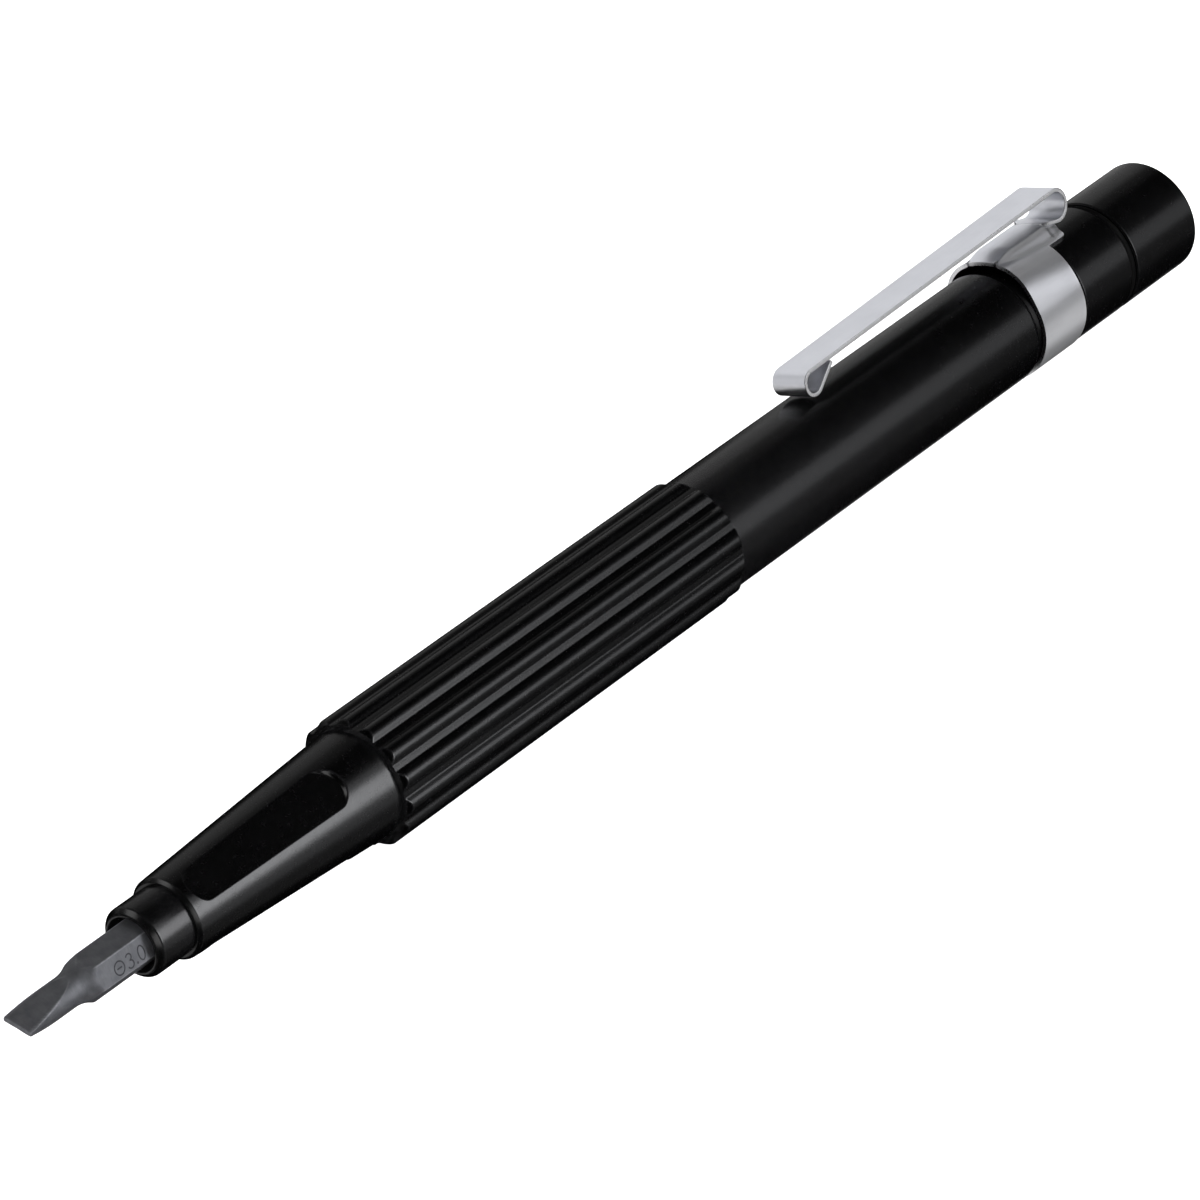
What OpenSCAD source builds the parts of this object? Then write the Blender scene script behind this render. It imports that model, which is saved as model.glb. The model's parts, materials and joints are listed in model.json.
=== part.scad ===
// Pocket screwdriver: an exchangeable hex bit in a collar, a tapered nose with finger flats, a fluted grip, a
// plain barrel with a spring clip, and a screw cap over the spare bits.
// Lengths are in millimetres and angles in degrees. The tool lies along X with its blade towards -X, and it
// rests on two ridges of its grip at Z = 0. Distances along the tool are counted from the blade's tip.

/* [Bits] */
// Width across the flats of the hex bits
bit_af = 4; // [3.6:0.1:4.3]
// Overall length of a bit
bit_len = 28; // [25:0.5:31]
// Length of the fitted bit in front of the collar
bit_reach = 14.3; // [12:0.1:17]
// Diameter of the fitted bit's neck, and width of its blade
neck_d = 3.05; // [2.4:0.05:3.4]
// Length of the neck from the tip
neck_len = 6.4; // [6.2:0.1:8]
// Thickness of the blade at its tip
blade_tip = 0.5; // [0.3:0.05:0.8]
// Length of the flats ground on the blade
blade_len = 6.1; // [4:0.1:6.2]
// Length of the taper from the neck to the corners of the hex
shoulder_len = 2.8; // [2:0.1:4]
// Turn of the fitted bit about the axis
bit_roll = 6; // [0:1:59]
// Blade width of the spare slotted bit
spare_slot_d = 2; // [1.5:0.1:3]
// Neck diameter of the small spare cross bit
small_cross_d = 2.6; // [2:0.1:3]
// Neck diameter of the large spare cross bit
large_cross_d = 3.5; // [3:0.1:3.5]

/* [Nose] */
// Wall of the collar round its mouth
collar_wall = 0.99; // [0.75:0.01:1.2]
// Length of the collar in front of the nose
collar_len = 4.4; // [3:0.1:6]
// Bevel of the collar's front edge
collar_bevel = 0.5; // [0.2:0.05:0.6]
// Step from the collar's surface up to the nose's front edge
nose_lip = 0.55; // [0.35:0.01:0.8]
// Step from the barrel's surface down to the nose where it meets the grip
nose_step = 0.47; // [0.2:0.01:0.6]
// Length of the nose in front of the grip
nose_len = 25.1; // [22:0.1:30]
// Finger flats round the nose
flat_count = 3; // [2:1:3]
// Depth of a finger flat at its front end
flat_front_depth = 0.41; // [0.2:0.01:0.5]
// Depth of a finger flat at its rear end
flat_rear_depth = 0.5; // [0.2:0.01:0.7]
// Distance from the nose's front to the finger flats
flat_start = 1.2; // [0.6:0.1:3]
// Length of a finger flat
flat_len = 19.1; // [12:0.1:20]
// Turn of the first finger flat about the axis
flat_roll = 29; // [0:1:119]

/* [Grip] */
// Height of the grip's ridges above the barrel's surface
grip_rise = 0.49; // [0.4:0.01:0.8]
// Length of the grip
grip_len = 48.5; // [42:0.5:56]
// Flutes round the grip
flute_count = 14; // [12:2:16]
// Depth of a flute
flute_depth = 0.35; // [0.2:0.01:0.45]
// Width of a flute's floor
flute_floor_w = 1.2; // [0.9:0.05:1.4]
// Width of a ridge's top
ridge_top_w = 0.75; // [0.5:0.05:0.9]
// Bevel at both ends of the grip
grip_bevel = 0.4; // [0.1:0.05:0.6]

/* [Barrel] */
// Diameter of the barrel and the cap
barrel_d = 11.5; // [11.3:0.02:12]
// Length of the barrel between the grip and the clip's seat
barrel_len = 47.3; // [42:0.1:56]
// Length of the turned seat for the clip's band
seat_len = 7.7; // [7.2:0.1:9]
// Depth of the turned seat
seat_depth = 0.39; // [0.3:0.01:0.5]
// Length of the barrel behind the seat
tail_len = 7.85; // [7:0.05:10]
// Step from the barrel's surface down to the spigot that carries the grip
spigot_step = 0.8; // [0.6:0.05:1]

/* [Clip] */
// Thickness of the clip's sheet
clip_t = 0.42; // [0.3:0.01:0.5]
// Length of the band round the barrel
band_len = 6.75; // [5:0.05:7]
// Rise of the band off its seat below the arm
band_lift = 0.5; // [0.2:0.05:0.6]
// Width of the arm at the fold
arm_rear_w = 4.3; // [3.6:0.1:5]
// Width of the arm at the roll
arm_front_w = 4; // [3:0.1:4.6]
// Distance along the tool between the centres of the fold and the roll
arm_run = 39.35; // [30:0.05:45]
// Outer radius of the fold
fold_r = 1.71; // [1.3:0.01:2.2]
// Outer radius of the roll
roll_r = 1.38; // [1:0.01:1.6]
// Length of the leaf that closes the roll
leaf_run = 3.05; // [2.4:0.05:4]
// Gap between the roll and the barrel
roll_gap = 0.15; // [0.1:0.01:0.4]
// Gap between the tongue and the barrel
tongue_gap = 0.42; // [0.3:0.01:0.8]
// Distance from the band's rear edge to the fold's centre
fold_reach = 3.65; // [3.4:0.05:5]
// Width of the raised channel's top
channel_top_w = 3.5; // [2.6:0.1:4]
// Width of the raised channel's foot
channel_foot_w = 6; // [5:0.1:6.6]
// Length of the channel behind the band
wing_len = 3.2; // [2:0.1:3.3]
// Turn of the clip about the axis
clip_roll = -19; // [-180:1:180]

/* [Cap] */
// Length of the cap
cap_len = 10.25; // [8:0.05:14]
// Bevel of the cap's rear edge
cap_bevel = 0.3; // [0.1:0.05:0.8]
// Width of the seal between barrel and cap
seal_w = 0.9; // [0.6:0.05:1.2]
// Height of the seal above the barrel's surface
seal_proud = 0.05; // [0:0.01:0.1]
// Wall of the barrel outside the cap's threaded spigot
thread_wall = 1.3; // [1.15:0.05:1.5]
// Length of the cap's threaded spigot
thread_len = 6.5; // [5:0.1:8]

/* [Fits] */
// Radial clearance of pieces that turn or slide
run_fit = 0.05; // [0.02:0.01:0.08]
// Radial clearance of pieces that are pressed or glued together
seat_fit = 0.02; // [0.01:0.01:0.03]
// Radial clearance of a screwed joint
thread_fit = 0.08; // [0.05:0.01:0.1]

/* [Hidden] */
$fn = 96;
// Overrun of every cut past the surface that it opens
overrun = 0.5;
hex_half_angle = 30;

// Bits
corner_r = bit_af / 2 / cos(hex_half_angle);
bit_bevel = 0.3;
shoulder_fillet = 6;
spare_tip = 0.35;
cross_tip_d = 0.9;
cross_cone_angle = 26.5;
cross_wing_t = 0.7;
cross_flute_angle = 7;
cross_flute_len = 4;

// Stations along the tool
nose_front = bit_reach + collar_len;
grip_front = nose_front + nose_len;
grip_rear = grip_front + grip_len;
seat_front = grip_rear + barrel_len;
seat_rear = seat_front + seat_len;
barrel_rear = seat_rear + tail_len;
cap_front = barrel_rear + seal_w;
tool_len = cap_front + cap_len;

// Socket and magnet
mouth_depth = 1.2;
mouth_r = corner_r + run_fit;
collar_r = mouth_r + collar_wall;
socket_af = bit_af + 2 * run_fit;
socket_wall = 0.65;
shank_r = mouth_r + socket_wall;
bit_stop_gap = 0.05;
magnet_front = bit_len + bit_stop_gap;
magnet_len = 4;
magnet_wall = 0.1;
magnet_r = bit_af / 2 - magnet_wall;
socket_floor = 0.8;
socket_rear = magnet_front + magnet_len + socket_floor;

// Nose
nose_bevel = 0.3;
nose_front_d = 2 * (collar_r + nose_lip);
nose_rear_d = barrel_d - 2 * nose_step;
spigot_d = barrel_d - 2 * spigot_step;
nose_thread_wall = 1.45;
nose_spigot_d = spigot_d - 2 * nose_thread_wall;
nose_spigot_len = 6;
nose_taper = (nose_rear_d - nose_front_d) / 2 / nose_len;
flat_margin = 0.15;
flat_front = nose_front + flat_start;
flat_rear = flat_front + flat_len;
flat_front_r = flat_end_r(flat_front, flat_front_depth);
flat_rear_r = flat_end_r(flat_rear, flat_rear_depth);
flat_from = flat_front + flat_front_r;
flat_to = flat_rear - flat_rear_r;
flat_low = nose_r(flat_from) - flat_front_depth;
flat_high = nose_r(flat_to) - flat_rear_depth;
flat_tilt = atan2(flat_high - flat_low, flat_to - flat_from);
flat_run = norm([flat_to - flat_from, flat_high - flat_low]);

// Grip
grip_d = barrel_d + 2 * grip_rise;
flute_floor_r = grip_d / 2 - flute_depth;
ridge_edge_r = 0.15;
ridge_foot_w = 2 * PI * flute_floor_r / flute_count - flute_floor_w;
ridge_foot_r = sqrt(pow(flute_floor_r, 2) - pow(ridge_foot_w / 2, 2));
ridge_lean = atan2((ridge_foot_w - ridge_top_w) / 2, grip_d / 2 - ridge_foot_r);
ridge_edge_cut = ridge_edge_r * tan((90 - ridge_lean) / 2);
half_pitch = 180 / flute_count;
// Height of the axis when the tool rests on the two ridges beside its lowest flute
axis_h = (grip_d / 2 - ridge_edge_r) * cos(half_pitch)
       + (ridge_top_w / 2 - ridge_edge_cut) * sin(half_pitch) + ridge_edge_r;

// Barrel and storage
barrel_bevel = 0.15;
seat_bevel = 0.25;
seat_r = barrel_d / 2 - seat_depth;
nose_thread_extra = 1;
thread_d = barrel_d - 2 * thread_wall;
store_clear = 0.15;
store_af = bit_af + 2 * store_clear;
cartridge_wall = 0.8;
cartridge_d = store_af / cos(hex_half_angle) + 2 * cartridge_wall;
store_bore_r = cartridge_d / 2 + run_fit;
store_gap = 0.4;
cushion_entry = 1;
cushion_gap = 0.3;
spare_gap = 0.2;
spare_total = 3;
store_rear = cap_front - thread_len - store_gap;
spare_rear = store_rear - cushion_entry - cushion_gap;
store_front = spare_rear - spare_total * (bit_len + spare_gap);

// Clip
band_play = 0.2;
seam_w = 0.6;
notch_w = 0.35;
notch_len = 0.5;
wing_gap = 0.2;
leaf_seat = 0.15;
min_edge_r = 0.05;
channel_edge_r = 0.5;
channel_lap = 0.7;
band_r = seat_r + run_fit;
band_rear = seat_rear - band_play;
band_front = band_rear - band_len;
tongue_in = barrel_d / 2 + tongue_gap;
tongue_out = tongue_in + clip_t;
fold_s = band_rear + fold_reach;
fold_h = tongue_in + fold_r;
roll_s = fold_s - arm_run;
roll_h = barrel_d / 2 + roll_gap + roll_r;
arm_len = sqrt(pow(arm_run, 2) + pow(fold_h - roll_h, 2) - pow(fold_r - roll_r, 2));
arm_slope = atan2(fold_h - roll_h, arm_run) + atan2(fold_r - roll_r, arm_len);
fold_in_r = fold_r - clip_t;
roll_in_r = roll_r - clip_t;
leaf_angle = 90 - 2 * atan2(leaf_run, roll_in_r);
tongue_len = fold_reach - wing_len + channel_lap;
channel_foot_h = sqrt(pow(band_r + clip_t, 2) - pow(channel_foot_w / 2, 2));
channel_lean = atan2((channel_foot_w - channel_top_w) / 2, tongue_out - channel_foot_h);

// Cap
seal_r = barrel_d / 2 + seal_proud;
seal_clear = 0.25;
cap_front_bevel = 0.15;
thread_bevel = 0.4;
cushion_d = 3.6;
pocket_depth = 3;

// Radius of the nose's surface at a station
function nose_r(s) = nose_front_d / 2 + nose_taper * (s - nose_front);

// Radius of the round end of a finger flat of some depth, a little wider than the flat itself
function flat_end_r(s, depth) = sqrt(pow(nose_r(s), 2) - pow(nose_r(s) - depth, 2)) + flat_margin;

// Lays a piece that is drawn along Z, with up along Y, on the tool's axis
module tool() {
  translate([-tool_len / 2, 0, axis_h]) rotate([90, 0, 90]) children();
}

// Extrudes an outline drawn as [station, height] evenly to both sides
module across(width) {
  rotate([0, -90, 0]) linear_extrude(width, center = true) children();
}

// Hexagonal rod with a flat facing up
module hex_rod(af, from, to) {
  translate([0, 0, from]) cylinder(d = af / cos(hex_half_angle), h = to - from, $fn = 6);
}

// Trapezoid with its two upper corners rounded
module crown(foot_half, top_half, foot_h, top_h, edge_r) {
  lean = atan2(foot_half - top_half, top_h - foot_h);
  edge_cut = edge_r * tan((90 - lean) / 2);
  polygon([[-foot_half, foot_h], [foot_half, foot_h],
           [top_half + edge_cut * sin(lean), top_h - edge_cut * cos(lean)], [top_half - edge_cut, top_h],
           [edge_cut - top_half, top_h], [-top_half - edge_cut * sin(lean), top_h - edge_cut * cos(lean)]]);
  for (side = [-1, 1]) {
    translate([side * (top_half - edge_cut), top_h - edge_r]) circle(r = edge_r);
  }
}

// Turned outline of a bit: neck, filleted taper that runs out past the corners, and bevelled shank
module bit_turning(neck_r) {
  slope = atan2(corner_r - neck_r, shoulder_len);
  taper_end = neck_len + (corner_r + overrun - neck_r) / tan(slope);
  fillet_run = shoulder_fillet * tan(slope / 2);
  difference() {
    polygon([[0, 0], [neck_r, 0], [neck_r, neck_len - fillet_run],
             [neck_r + fillet_run * sin(slope), neck_len + fillet_run * cos(slope)],
             [corner_r + overrun, taper_end], [corner_r + overrun, bit_len - bit_bevel - overrun],
             [corner_r - bit_bevel, bit_len], [0, bit_len]]);
    translate([neck_r + shoulder_fillet, neck_len - fillet_run]) circle(r = shoulder_fillet);
  }
}

module bit_blank(neck_r) {
  intersection() {
    hex_rod(bit_af, 0, bit_len);
    rotate_extrude() bit_turning(neck_r);
  }
}

// Bit with a flat blade ground on its neck
module slot_bit(neck_r, tip) {
  slope = (neck_r - tip / 2) / blade_len;
  difference() {
    bit_blank(neck_r);
    for (side = [0, 1]) {
      mirror([0, side, 0]) across(bit_af) {
        polygon([[-overrun, tip / 2 - slope * overrun], [blade_len + overrun, neck_r + slope * overrun],
                 [blade_len + overrun, bit_af], [-overrun, bit_af]]);
      }
    }
  }
}

// Bit with a pointed neck cut by four flutes
module cross_bit(neck_r) {
  cone_len = (neck_r - cross_tip_d / 2) / tan(cross_cone_angle);
  difference() {
    intersection() {
      bit_blank(neck_r);
      rotate_extrude() polygon([[0, 0], [cross_tip_d / 2, 0], [neck_r, cone_len],
                                [neck_r, neck_len - cross_flute_len], [corner_r + overrun, neck_len],
                                [corner_r + overrun, bit_len + overrun], [0, bit_len + overrun]]);
    }
    for (turn = [45 : 90 : 315]) {
      rotate([0, 0, turn]) translate([cross_wing_t / 2, 0, 0]) rotate([0, cross_flute_angle, 0])
        rotate([0, 0, -45]) translate([0, 0, -overrun]) cube([bit_af, bit_af, cross_flute_len + overrun]);
    }
  }
}

module driver_bit() {
  color("dimgray") tool() rotate([0, 0, bit_roll]) slot_bit(neck_d / 2, blade_tip);
}

module bit_socket() {
  color("#1b1b1d") tool() difference() {
    rotate_extrude() polygon([[0, bit_reach], [collar_r - collar_bevel, bit_reach],
                              [collar_r, bit_reach + collar_bevel], [collar_r, nose_front],
                              [shank_r, nose_front], [shank_r, socket_rear], [0, socket_rear]]);
    translate([0, 0, bit_reach - overrun]) cylinder(r = mouth_r, h = mouth_depth + overrun);
    rotate([0, 0, bit_roll]) hex_rod(socket_af, bit_reach, magnet_front);
    translate([0, 0, magnet_front - overrun]) cylinder(r = magnet_r + seat_fit, h = magnet_len + overrun);
  }
}

module bit_magnet() {
  color("silver") tool() translate([0, 0, magnet_front]) cylinder(r = magnet_r, h = magnet_len);
}

// Flat with round ends, cut down into the top of the nose
module finger_flat() {
  slant = asin((flat_rear_r - flat_front_r) / flat_run);
  translate([0, flat_low, flat_from]) rotate([-90 - flat_tilt, 0, 0]) linear_extrude(nose_rear_d) {
    circle(r = flat_front_r);
    translate([0, -flat_run]) circle(r = flat_rear_r);
    polygon([[-flat_front_r * cos(slant), flat_front_r * sin(slant)],
             [flat_front_r * cos(slant), flat_front_r * sin(slant)],
             [flat_rear_r * cos(slant), flat_rear_r * sin(slant) - flat_run],
             [-flat_rear_r * cos(slant), flat_rear_r * sin(slant) - flat_run]]);
  }
}

module nose_cone() {
  spigot_end = grip_front + nose_spigot_len;
  color("#1e1e20") tool() difference() {
    rotate_extrude() polygon([[0, nose_front], [nose_r(nose_front) - nose_bevel, nose_front],
                              [nose_r(nose_front + nose_bevel), nose_front + nose_bevel],
                              [nose_rear_d / 2, grip_front], [nose_spigot_d / 2, grip_front],
                              [nose_spigot_d / 2, spigot_end - nose_bevel],
                              [nose_spigot_d / 2 - nose_bevel, spigot_end], [0, spigot_end]]);
    translate([0, 0, nose_front - overrun]) {
      cylinder(r = shank_r + seat_fit, h = socket_rear - nose_front + overrun);
    }
    for (i = [0 : flat_count - 1]) {
      rotate([0, 0, flat_roll + i * 360 / flat_count]) finger_flat();
    }
  }
}

// Cross-section of the grip, with a flute at the very top and bottom
module flutes() {
  sink = flute_depth;
  circle(r = flute_floor_r);
  for (i = [0 : flute_count - 1]) {
    rotate((i + 0.5) * 2 * half_pitch) crown(ridge_foot_w / 2 + sink * tan(ridge_lean), ridge_top_w / 2,
                                             ridge_foot_r - sink, grip_d / 2, ridge_edge_r);
  }
}

module grip_sleeve() {
  full_r = norm([grip_d / 2, ridge_top_w / 2]);
  color("#202022") tool() difference() {
    intersection() {
      translate([0, 0, grip_front]) linear_extrude(grip_len) flutes();
      rotate_extrude() polygon([[0, grip_front], [full_r - grip_bevel, grip_front],
                                [full_r, grip_front + grip_bevel], [full_r, grip_rear - grip_bevel],
                                [full_r - grip_bevel, grip_rear], [0, grip_rear]]);
    }
    translate([0, 0, grip_front - overrun]) cylinder(d = spigot_d + 2 * seat_fit, h = grip_len + 2 * overrun);
  }
}

module barrel() {
  r = barrel_d / 2;
  nose_bore_len = nose_spigot_len + nose_thread_extra;
  color("#1e1e20") tool() difference() {
    rotate_extrude() polygon([[0, grip_front], [spigot_d / 2, grip_front], [spigot_d / 2, grip_rear],
                              [r, grip_rear], [r, seat_front - 2 * seat_bevel], [r - seat_bevel, seat_front],
                              [seat_r, seat_front], [seat_r, seat_rear], [r - barrel_bevel, seat_rear],
                              [r, seat_rear + barrel_bevel], [r, barrel_rear - barrel_bevel],
                              [r - barrel_bevel, barrel_rear], [0, barrel_rear]]);
    translate([0, 0, grip_front - overrun]) {
      cylinder(d = nose_spigot_d + 2 * thread_fit, h = nose_bore_len + overrun);
    }
    translate([0, 0, store_front]) cylinder(r = store_bore_r, h = barrel_rear - store_front + overrun);
    translate([0, 0, store_rear]) {
      cylinder(d = thread_d + 2 * thread_fit, h = barrel_rear - store_rear + overrun);
    }
  }
}

// Arm, fold and tongue of the clip, drawn with the roll's centre at the origin and the arm level
module clip_hairpin() {
  up = [sin(arm_slope), cos(arm_slope)];
  forward = [-cos(arm_slope), sin(arm_slope)];
  fold_c = [arm_len, roll_r - fold_r];
  difference() {
    union() {
      polygon([[leaf_run / 2, roll_r], fold_c + [0, fold_r], fold_c - fold_r * up,
               fold_c - fold_r * up + tongue_len * forward, fold_c - fold_in_r * up + tongue_len * forward,
               [leaf_run / 2, roll_in_r]]);
      translate(fold_c) circle(r = fold_r);
    }
    polygon([[0, roll_in_r], fold_c + [0, fold_in_r], fold_c - fold_in_r * up,
             fold_c - fold_in_r * up + (tongue_len + leaf_run / 2) * forward]);
    translate(fold_c) circle(r = fold_in_r);
  }
}

// Roll at the arm's front end, closed by a leaf that meets the arm's underside
module clip_roll_loop() {
  leaf_normal = [cos(leaf_angle), sin(leaf_angle)];
  leaf_foot = [leaf_run + leaf_seat, roll_in_r];
  difference() {
    union() {
      circle(r = roll_r);
      polygon([[0, roll_r], [leaf_run + leaf_seat, roll_r], leaf_foot,
               leaf_foot + (roll_r - leaf_foot * leaf_normal) * leaf_normal, roll_r * leaf_normal, [0, 0]]);
    }
    circle(r = roll_in_r);
    polygon([[0, roll_in_r], [leaf_run, roll_in_r], roll_in_r * leaf_normal, [0, 0]]);
  }
}

// The whole strip in front of the channel, narrowing from the fold to the roll
module clip_arm() {
  from = roll_s - roll_r - overrun;
  to = fold_s + fold_r + overrun;
  widen = (arm_rear_w - arm_front_w) / 2 / arm_run;
  intersection() {
    across(barrel_d) translate([roll_s, roll_h]) rotate(arm_slope) {
      clip_hairpin();
      clip_roll_loop();
    }
    rotate([-90, 0, 0]) linear_extrude(barrel_d) {
      polygon([[-arm_front_w / 2 - widen * (from - roll_s), -from],
               [arm_front_w / 2 + widen * (from - roll_s), -from],
               [arm_rear_w / 2 + widen * (to - fold_s), -to], [-arm_rear_w / 2 - widen * (to - fold_s), -to]]);
    }
  }
}

// Section of the raised channel, or of the hollow under it when inset by the sheet's thickness
module channel_section(inset) {
  drop = channel_foot_h - seat_depth;
  foot_half = channel_foot_w / 2 - inset / cos(channel_lean) + seat_depth * tan(channel_lean);
  top_half = channel_top_w / 2 - inset * tan((90 - channel_lean) / 2);
  crown(foot_half, top_half, drop, tongue_out - inset, max(channel_edge_r - inset, min_edge_r));
}

// Section of the band, round on its seat and drawn up below the arm, or of its bore with no wall
module band_section(wall) {
  circle(r = band_r + wall);
  translate([0, band_lift]) circle(r = band_r + wall);
}

module pocket_clip() {
  color("lightgray") tool() rotate([0, 0, clip_roll]) {
    difference() {
      union() {
        translate([0, 0, band_front]) linear_extrude(band_len) band_section(clip_t);
        translate([0, 0, band_front]) linear_extrude(band_len + wing_len) channel_section(0);
      }
      translate([0, 0, band_front - overrun]) {
        linear_extrude(band_len + wing_len + 2 * overrun) channel_section(clip_t);
        linear_extrude(band_len + wing_len + 2 * overrun) band_section(0);
      }
      translate([0, 0, band_rear]) cylinder(d = barrel_d + 2 * wing_gap, h = wing_len + overrun);
      translate([-seam_w / 2, -barrel_d, band_front - overrun]) {
        cube([seam_w, barrel_d, band_len + 2 * overrun]);
      }
      for (side = [-1, 1]) {
        translate([side * (channel_top_w - notch_w) / 2 - notch_w / 2, 0, band_front - overrun]) {
          cube([notch_w, barrel_d, notch_len + overrun]);
        }
      }
    }
    clip_arm();
  }
}

module cap_seal() {
  round_r = seal_w / 2;
  color("#101010") tool() translate([0, 0, barrel_rear]) rotate_extrude() {
    translate([thread_d / 2 + seal_clear, 0]) square([seal_r - round_r - thread_d / 2 - seal_clear, seal_w]);
    translate([seal_r - round_r, round_r]) circle(r = round_r);
  }
}

module end_cap() {
  r = barrel_d / 2;
  from = cap_front - thread_len;
  color("#1e1e20") tool() difference() {
    rotate_extrude() polygon([[0, from], [thread_d / 2 - thread_bevel, from], [thread_d / 2, from + thread_bevel],
                              [thread_d / 2, cap_front], [r - cap_front_bevel, cap_front],
                              [r, cap_front + cap_front_bevel], [r, tool_len - cap_bevel],
                              [r - cap_bevel, tool_len], [0, tool_len]]);
    translate([0, 0, from - overrun]) cylinder(d = cushion_d + 2 * seat_fit, h = pocket_depth + overrun);
  }
}

module cap_cushion() {
  from = store_rear - cushion_entry;
  to = cap_front - thread_len + pocket_depth;
  color("#2a2a2a") tool() translate([0, 0, from]) cylinder(d = cushion_d, h = to - from);
}

module bit_cartridge() {
  color("#303032") tool() difference() {
    translate([0, 0, store_front]) cylinder(d = cartridge_d, h = store_rear - store_front);
    hex_rod(store_af, store_front - overrun, store_rear + overrun);
  }
}

// Places a spare bit in the storage bore, counted from the cap
module stored(place) {
  tool() translate([0, 0, spare_rear - place * (bit_len + spare_gap) - bit_len]) children();
}

module spare_slot_bit() {
  color("dimgray") stored(0) slot_bit(spare_slot_d / 2, spare_tip);
}

module spare_cross_bit_small() {
  color("dimgray") stored(1) cross_bit(small_cross_d / 2);
}

module spare_cross_bit_large() {
  color("dimgray") stored(2) cross_bit(large_cross_d / 2);
}

driver_bit();
bit_socket();
bit_magnet();
nose_cone();
grip_sleeve();
barrel();
pocket_clip();
cap_seal();
end_cap();
cap_cushion();
bit_cartridge();
spare_slot_bit();
spare_cross_bit_small();
spare_cross_bit_large();
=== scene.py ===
"""Pocket screwdriver: finished surfaces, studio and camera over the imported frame."""

import json
import math

import bmesh
import bpy
from mathutils import Matrix, Vector

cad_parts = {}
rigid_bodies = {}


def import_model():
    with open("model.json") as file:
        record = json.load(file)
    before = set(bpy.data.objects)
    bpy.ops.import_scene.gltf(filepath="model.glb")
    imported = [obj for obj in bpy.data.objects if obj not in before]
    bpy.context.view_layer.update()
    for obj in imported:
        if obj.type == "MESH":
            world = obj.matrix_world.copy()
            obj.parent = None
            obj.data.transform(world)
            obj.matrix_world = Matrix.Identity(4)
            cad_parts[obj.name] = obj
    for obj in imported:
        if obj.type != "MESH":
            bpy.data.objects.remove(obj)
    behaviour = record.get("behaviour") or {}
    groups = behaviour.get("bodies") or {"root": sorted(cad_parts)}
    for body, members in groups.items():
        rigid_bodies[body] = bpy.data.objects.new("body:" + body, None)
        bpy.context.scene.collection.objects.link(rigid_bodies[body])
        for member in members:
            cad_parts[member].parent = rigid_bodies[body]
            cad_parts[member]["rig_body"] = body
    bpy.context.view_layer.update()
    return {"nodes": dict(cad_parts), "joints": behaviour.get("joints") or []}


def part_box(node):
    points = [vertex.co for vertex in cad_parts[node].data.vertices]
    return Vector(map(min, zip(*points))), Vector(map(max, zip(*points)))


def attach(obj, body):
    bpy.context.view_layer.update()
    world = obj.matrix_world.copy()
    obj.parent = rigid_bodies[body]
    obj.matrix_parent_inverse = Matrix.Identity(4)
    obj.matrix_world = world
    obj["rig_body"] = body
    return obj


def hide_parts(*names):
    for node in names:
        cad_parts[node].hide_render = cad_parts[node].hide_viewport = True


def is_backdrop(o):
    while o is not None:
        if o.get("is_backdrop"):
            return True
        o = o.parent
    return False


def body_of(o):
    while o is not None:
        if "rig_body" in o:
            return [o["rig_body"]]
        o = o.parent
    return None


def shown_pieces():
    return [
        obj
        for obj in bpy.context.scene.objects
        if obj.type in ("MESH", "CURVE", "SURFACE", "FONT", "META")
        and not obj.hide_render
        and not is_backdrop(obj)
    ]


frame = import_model()

MM = 0.001
MICRON = 0.000001
TURN = 2 * math.pi
SIXTH = math.radians(60)

# Lengths are in millimetres, and stations are measured from the blade's tip along the axis

# Bit
BIT_AF = 4.0
BIT_LEN = 28.0
BIT_REACH = 14.3
BIT_ROLL = math.radians(6)
NECK_R = 1.525
BLADE_TIP = 0.4
BLADE_LEN = 6.1
SWEEP_START = 6.0
SWEEP_R = 4.0
CORNER_R = BIT_AF / 2 / math.cos(SIXTH / 2)

# Room between pieces that move and between pieces that are pressed together
RUN_FIT = 0.05
SEAT_FIT = 0.02

# Collar, with the socket and magnet behind its mouth
MOUTH_R = CORNER_R + RUN_FIT
MOUTH_DEPTH = 1.2
MOUTH_LEAD = 0.28
MOUTH_LEAD_LEN = 0.8
COLLAR_WALL = 0.99
COLLAR_R = MOUTH_R + COLLAR_WALL
COLLAR_LEN = 4.4
COLLAR_BEVEL = 0.5
COLLAR_BEVEL_ROUND = 0.38
SHANK_WALL = 0.65
SHANK_R = MOUTH_R + SHANK_WALL
MAGNET_GAP = 0.05
MAGNET_LEN = 4.0
MAGNET_INSET = 0.1
MAGNET_R = BIT_AF / 2 - MAGNET_INSET
MAGNET_FRONT = BIT_LEN + MAGNET_GAP
MAGNET_REAR = MAGNET_FRONT + MAGNET_LEN
SOCKET_FLOOR = 0.8
SOCKET_REAR = MAGNET_REAR + SOCKET_FLOOR

# Barrel's plain round and the spigot in front of it that carries the grip
BARREL_R = 5.75
SPIGOT_STEP = 0.8
SPIGOT_R = BARREL_R - SPIGOT_STEP

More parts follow.
